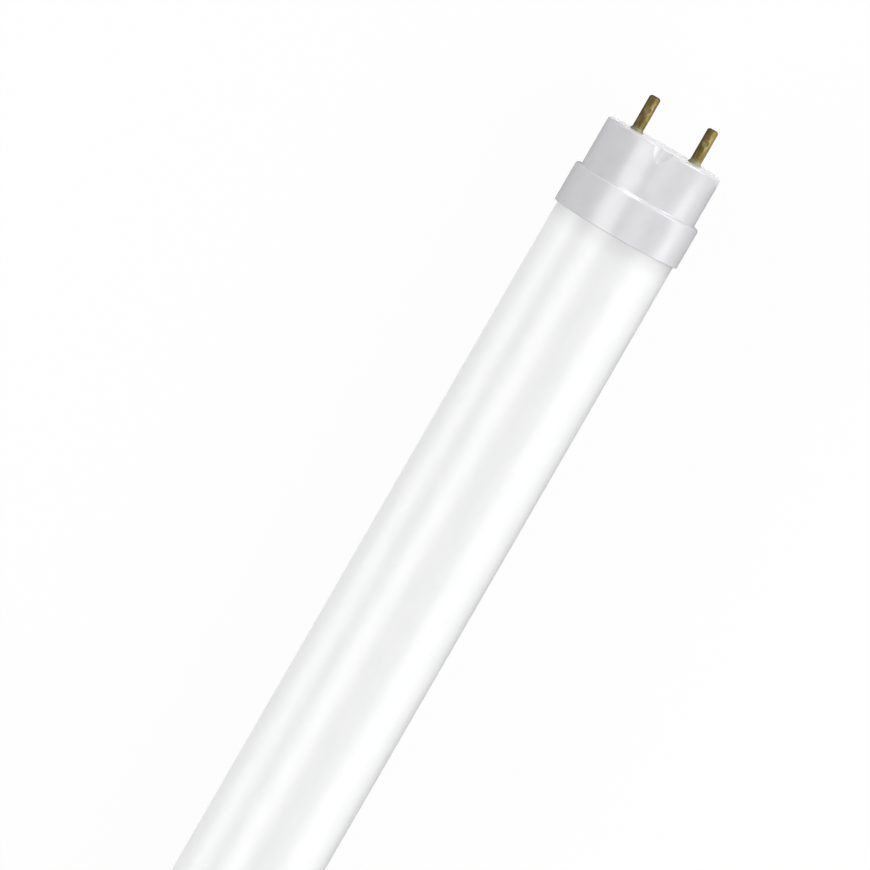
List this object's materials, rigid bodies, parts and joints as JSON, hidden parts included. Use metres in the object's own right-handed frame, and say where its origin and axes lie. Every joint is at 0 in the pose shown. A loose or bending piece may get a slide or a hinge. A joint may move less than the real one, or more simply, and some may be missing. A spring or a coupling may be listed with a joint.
{
  "type": "led tube lamp",
  "caption": "Straight frosted glass LED tube with a stepped plastic cap and two brass contact pins at each end.",
  "frame": {"origin": "on the tube's axis, halfway between the two end faces", "axes": "+X along the tube towards the cap that only links its pins, +Z towards the side that gives light, which a notch in each cap marks, and the two pins of a cap are spread along Y"},
  "size_m": [0.604, 0.0268, 0.0268],
  "materials": {
    "frosted_glass": "frosted inside, glossy outside",
    "cap_plastic": "satin moulded",
    "pin_brass": "tarnished, drawn",
    "cap_glue": "cast in place",
    "board_aluminium": "white solder mask",
    "board_glue": "cured bead",
    "led_body": "moulded",
    "phosphor": "silicone with phosphor",
    "tinned_wire": "tinned copper",
    "circuit_board": "glass fibre laminate, green mask",
    "lead_insulation": "extruded insulation",
    "lead_insulation_black": "extruded insulation",
    "solder": "reflowed",
    "fuse_lacquer": "lacquered ceramic",
    "varistor_coat": "dipped epoxy",
    "film_case": "moulded case",
    "capacitor_can": "printed sleeve",
    "ferrite": "sintered ferrite",
    "winding_wire": "enamelled copper",
    "package_epoxy": "moulded epoxy",
    "resistor_ceramic": "glazed ceramic",
    "header_plastic": "moulded",
    "header_metal": "plated",
    "sleeve_film": "thin polyester"
  },
  "bodies": {
    "root": {"glass_tube": "frosted_glass", "link_end_cap": "cap_plastic", "driver_end_cap": "cap_plastic", "link_end_glue": "cap_glue", "driver_end_glue": "cap_glue", "link_pin_left": "pin_brass", "link_pin_right": "pin_brass", "live_pin": "pin_brass", "neutral_pin": "pin_brass", "link_wire": "tinned_wire", "led_board": "board_aluminium", "led_board_glue": "board_glue", "led_packages": "led_body", "led_phosphors": "phosphor", "driver_board": "circuit_board", "live_lead": "lead_insulation_black", "neutral_lead": "lead_insulation", "solder_joints": "solder", "input_fuse": "fuse_lacquer", "varistor": "varistor_coat", "film_capacitor": "film_case", "bus_capacitor": "capacitor_can", "inductor_core": "ferrite", "inductor_winding": "winding_wire", "output_capacitor": "capacitor_can", "bridge_rectifier": "package_epoxy", "driver_chip": "package_epoxy", "output_diode": "package_epoxy", "chip_resistors": "resistor_ceramic", "board_header": "header_plastic", "header_pins": "header_metal", "driver_sleeve": "sleeve_film"}
  },
  "joints": []
}
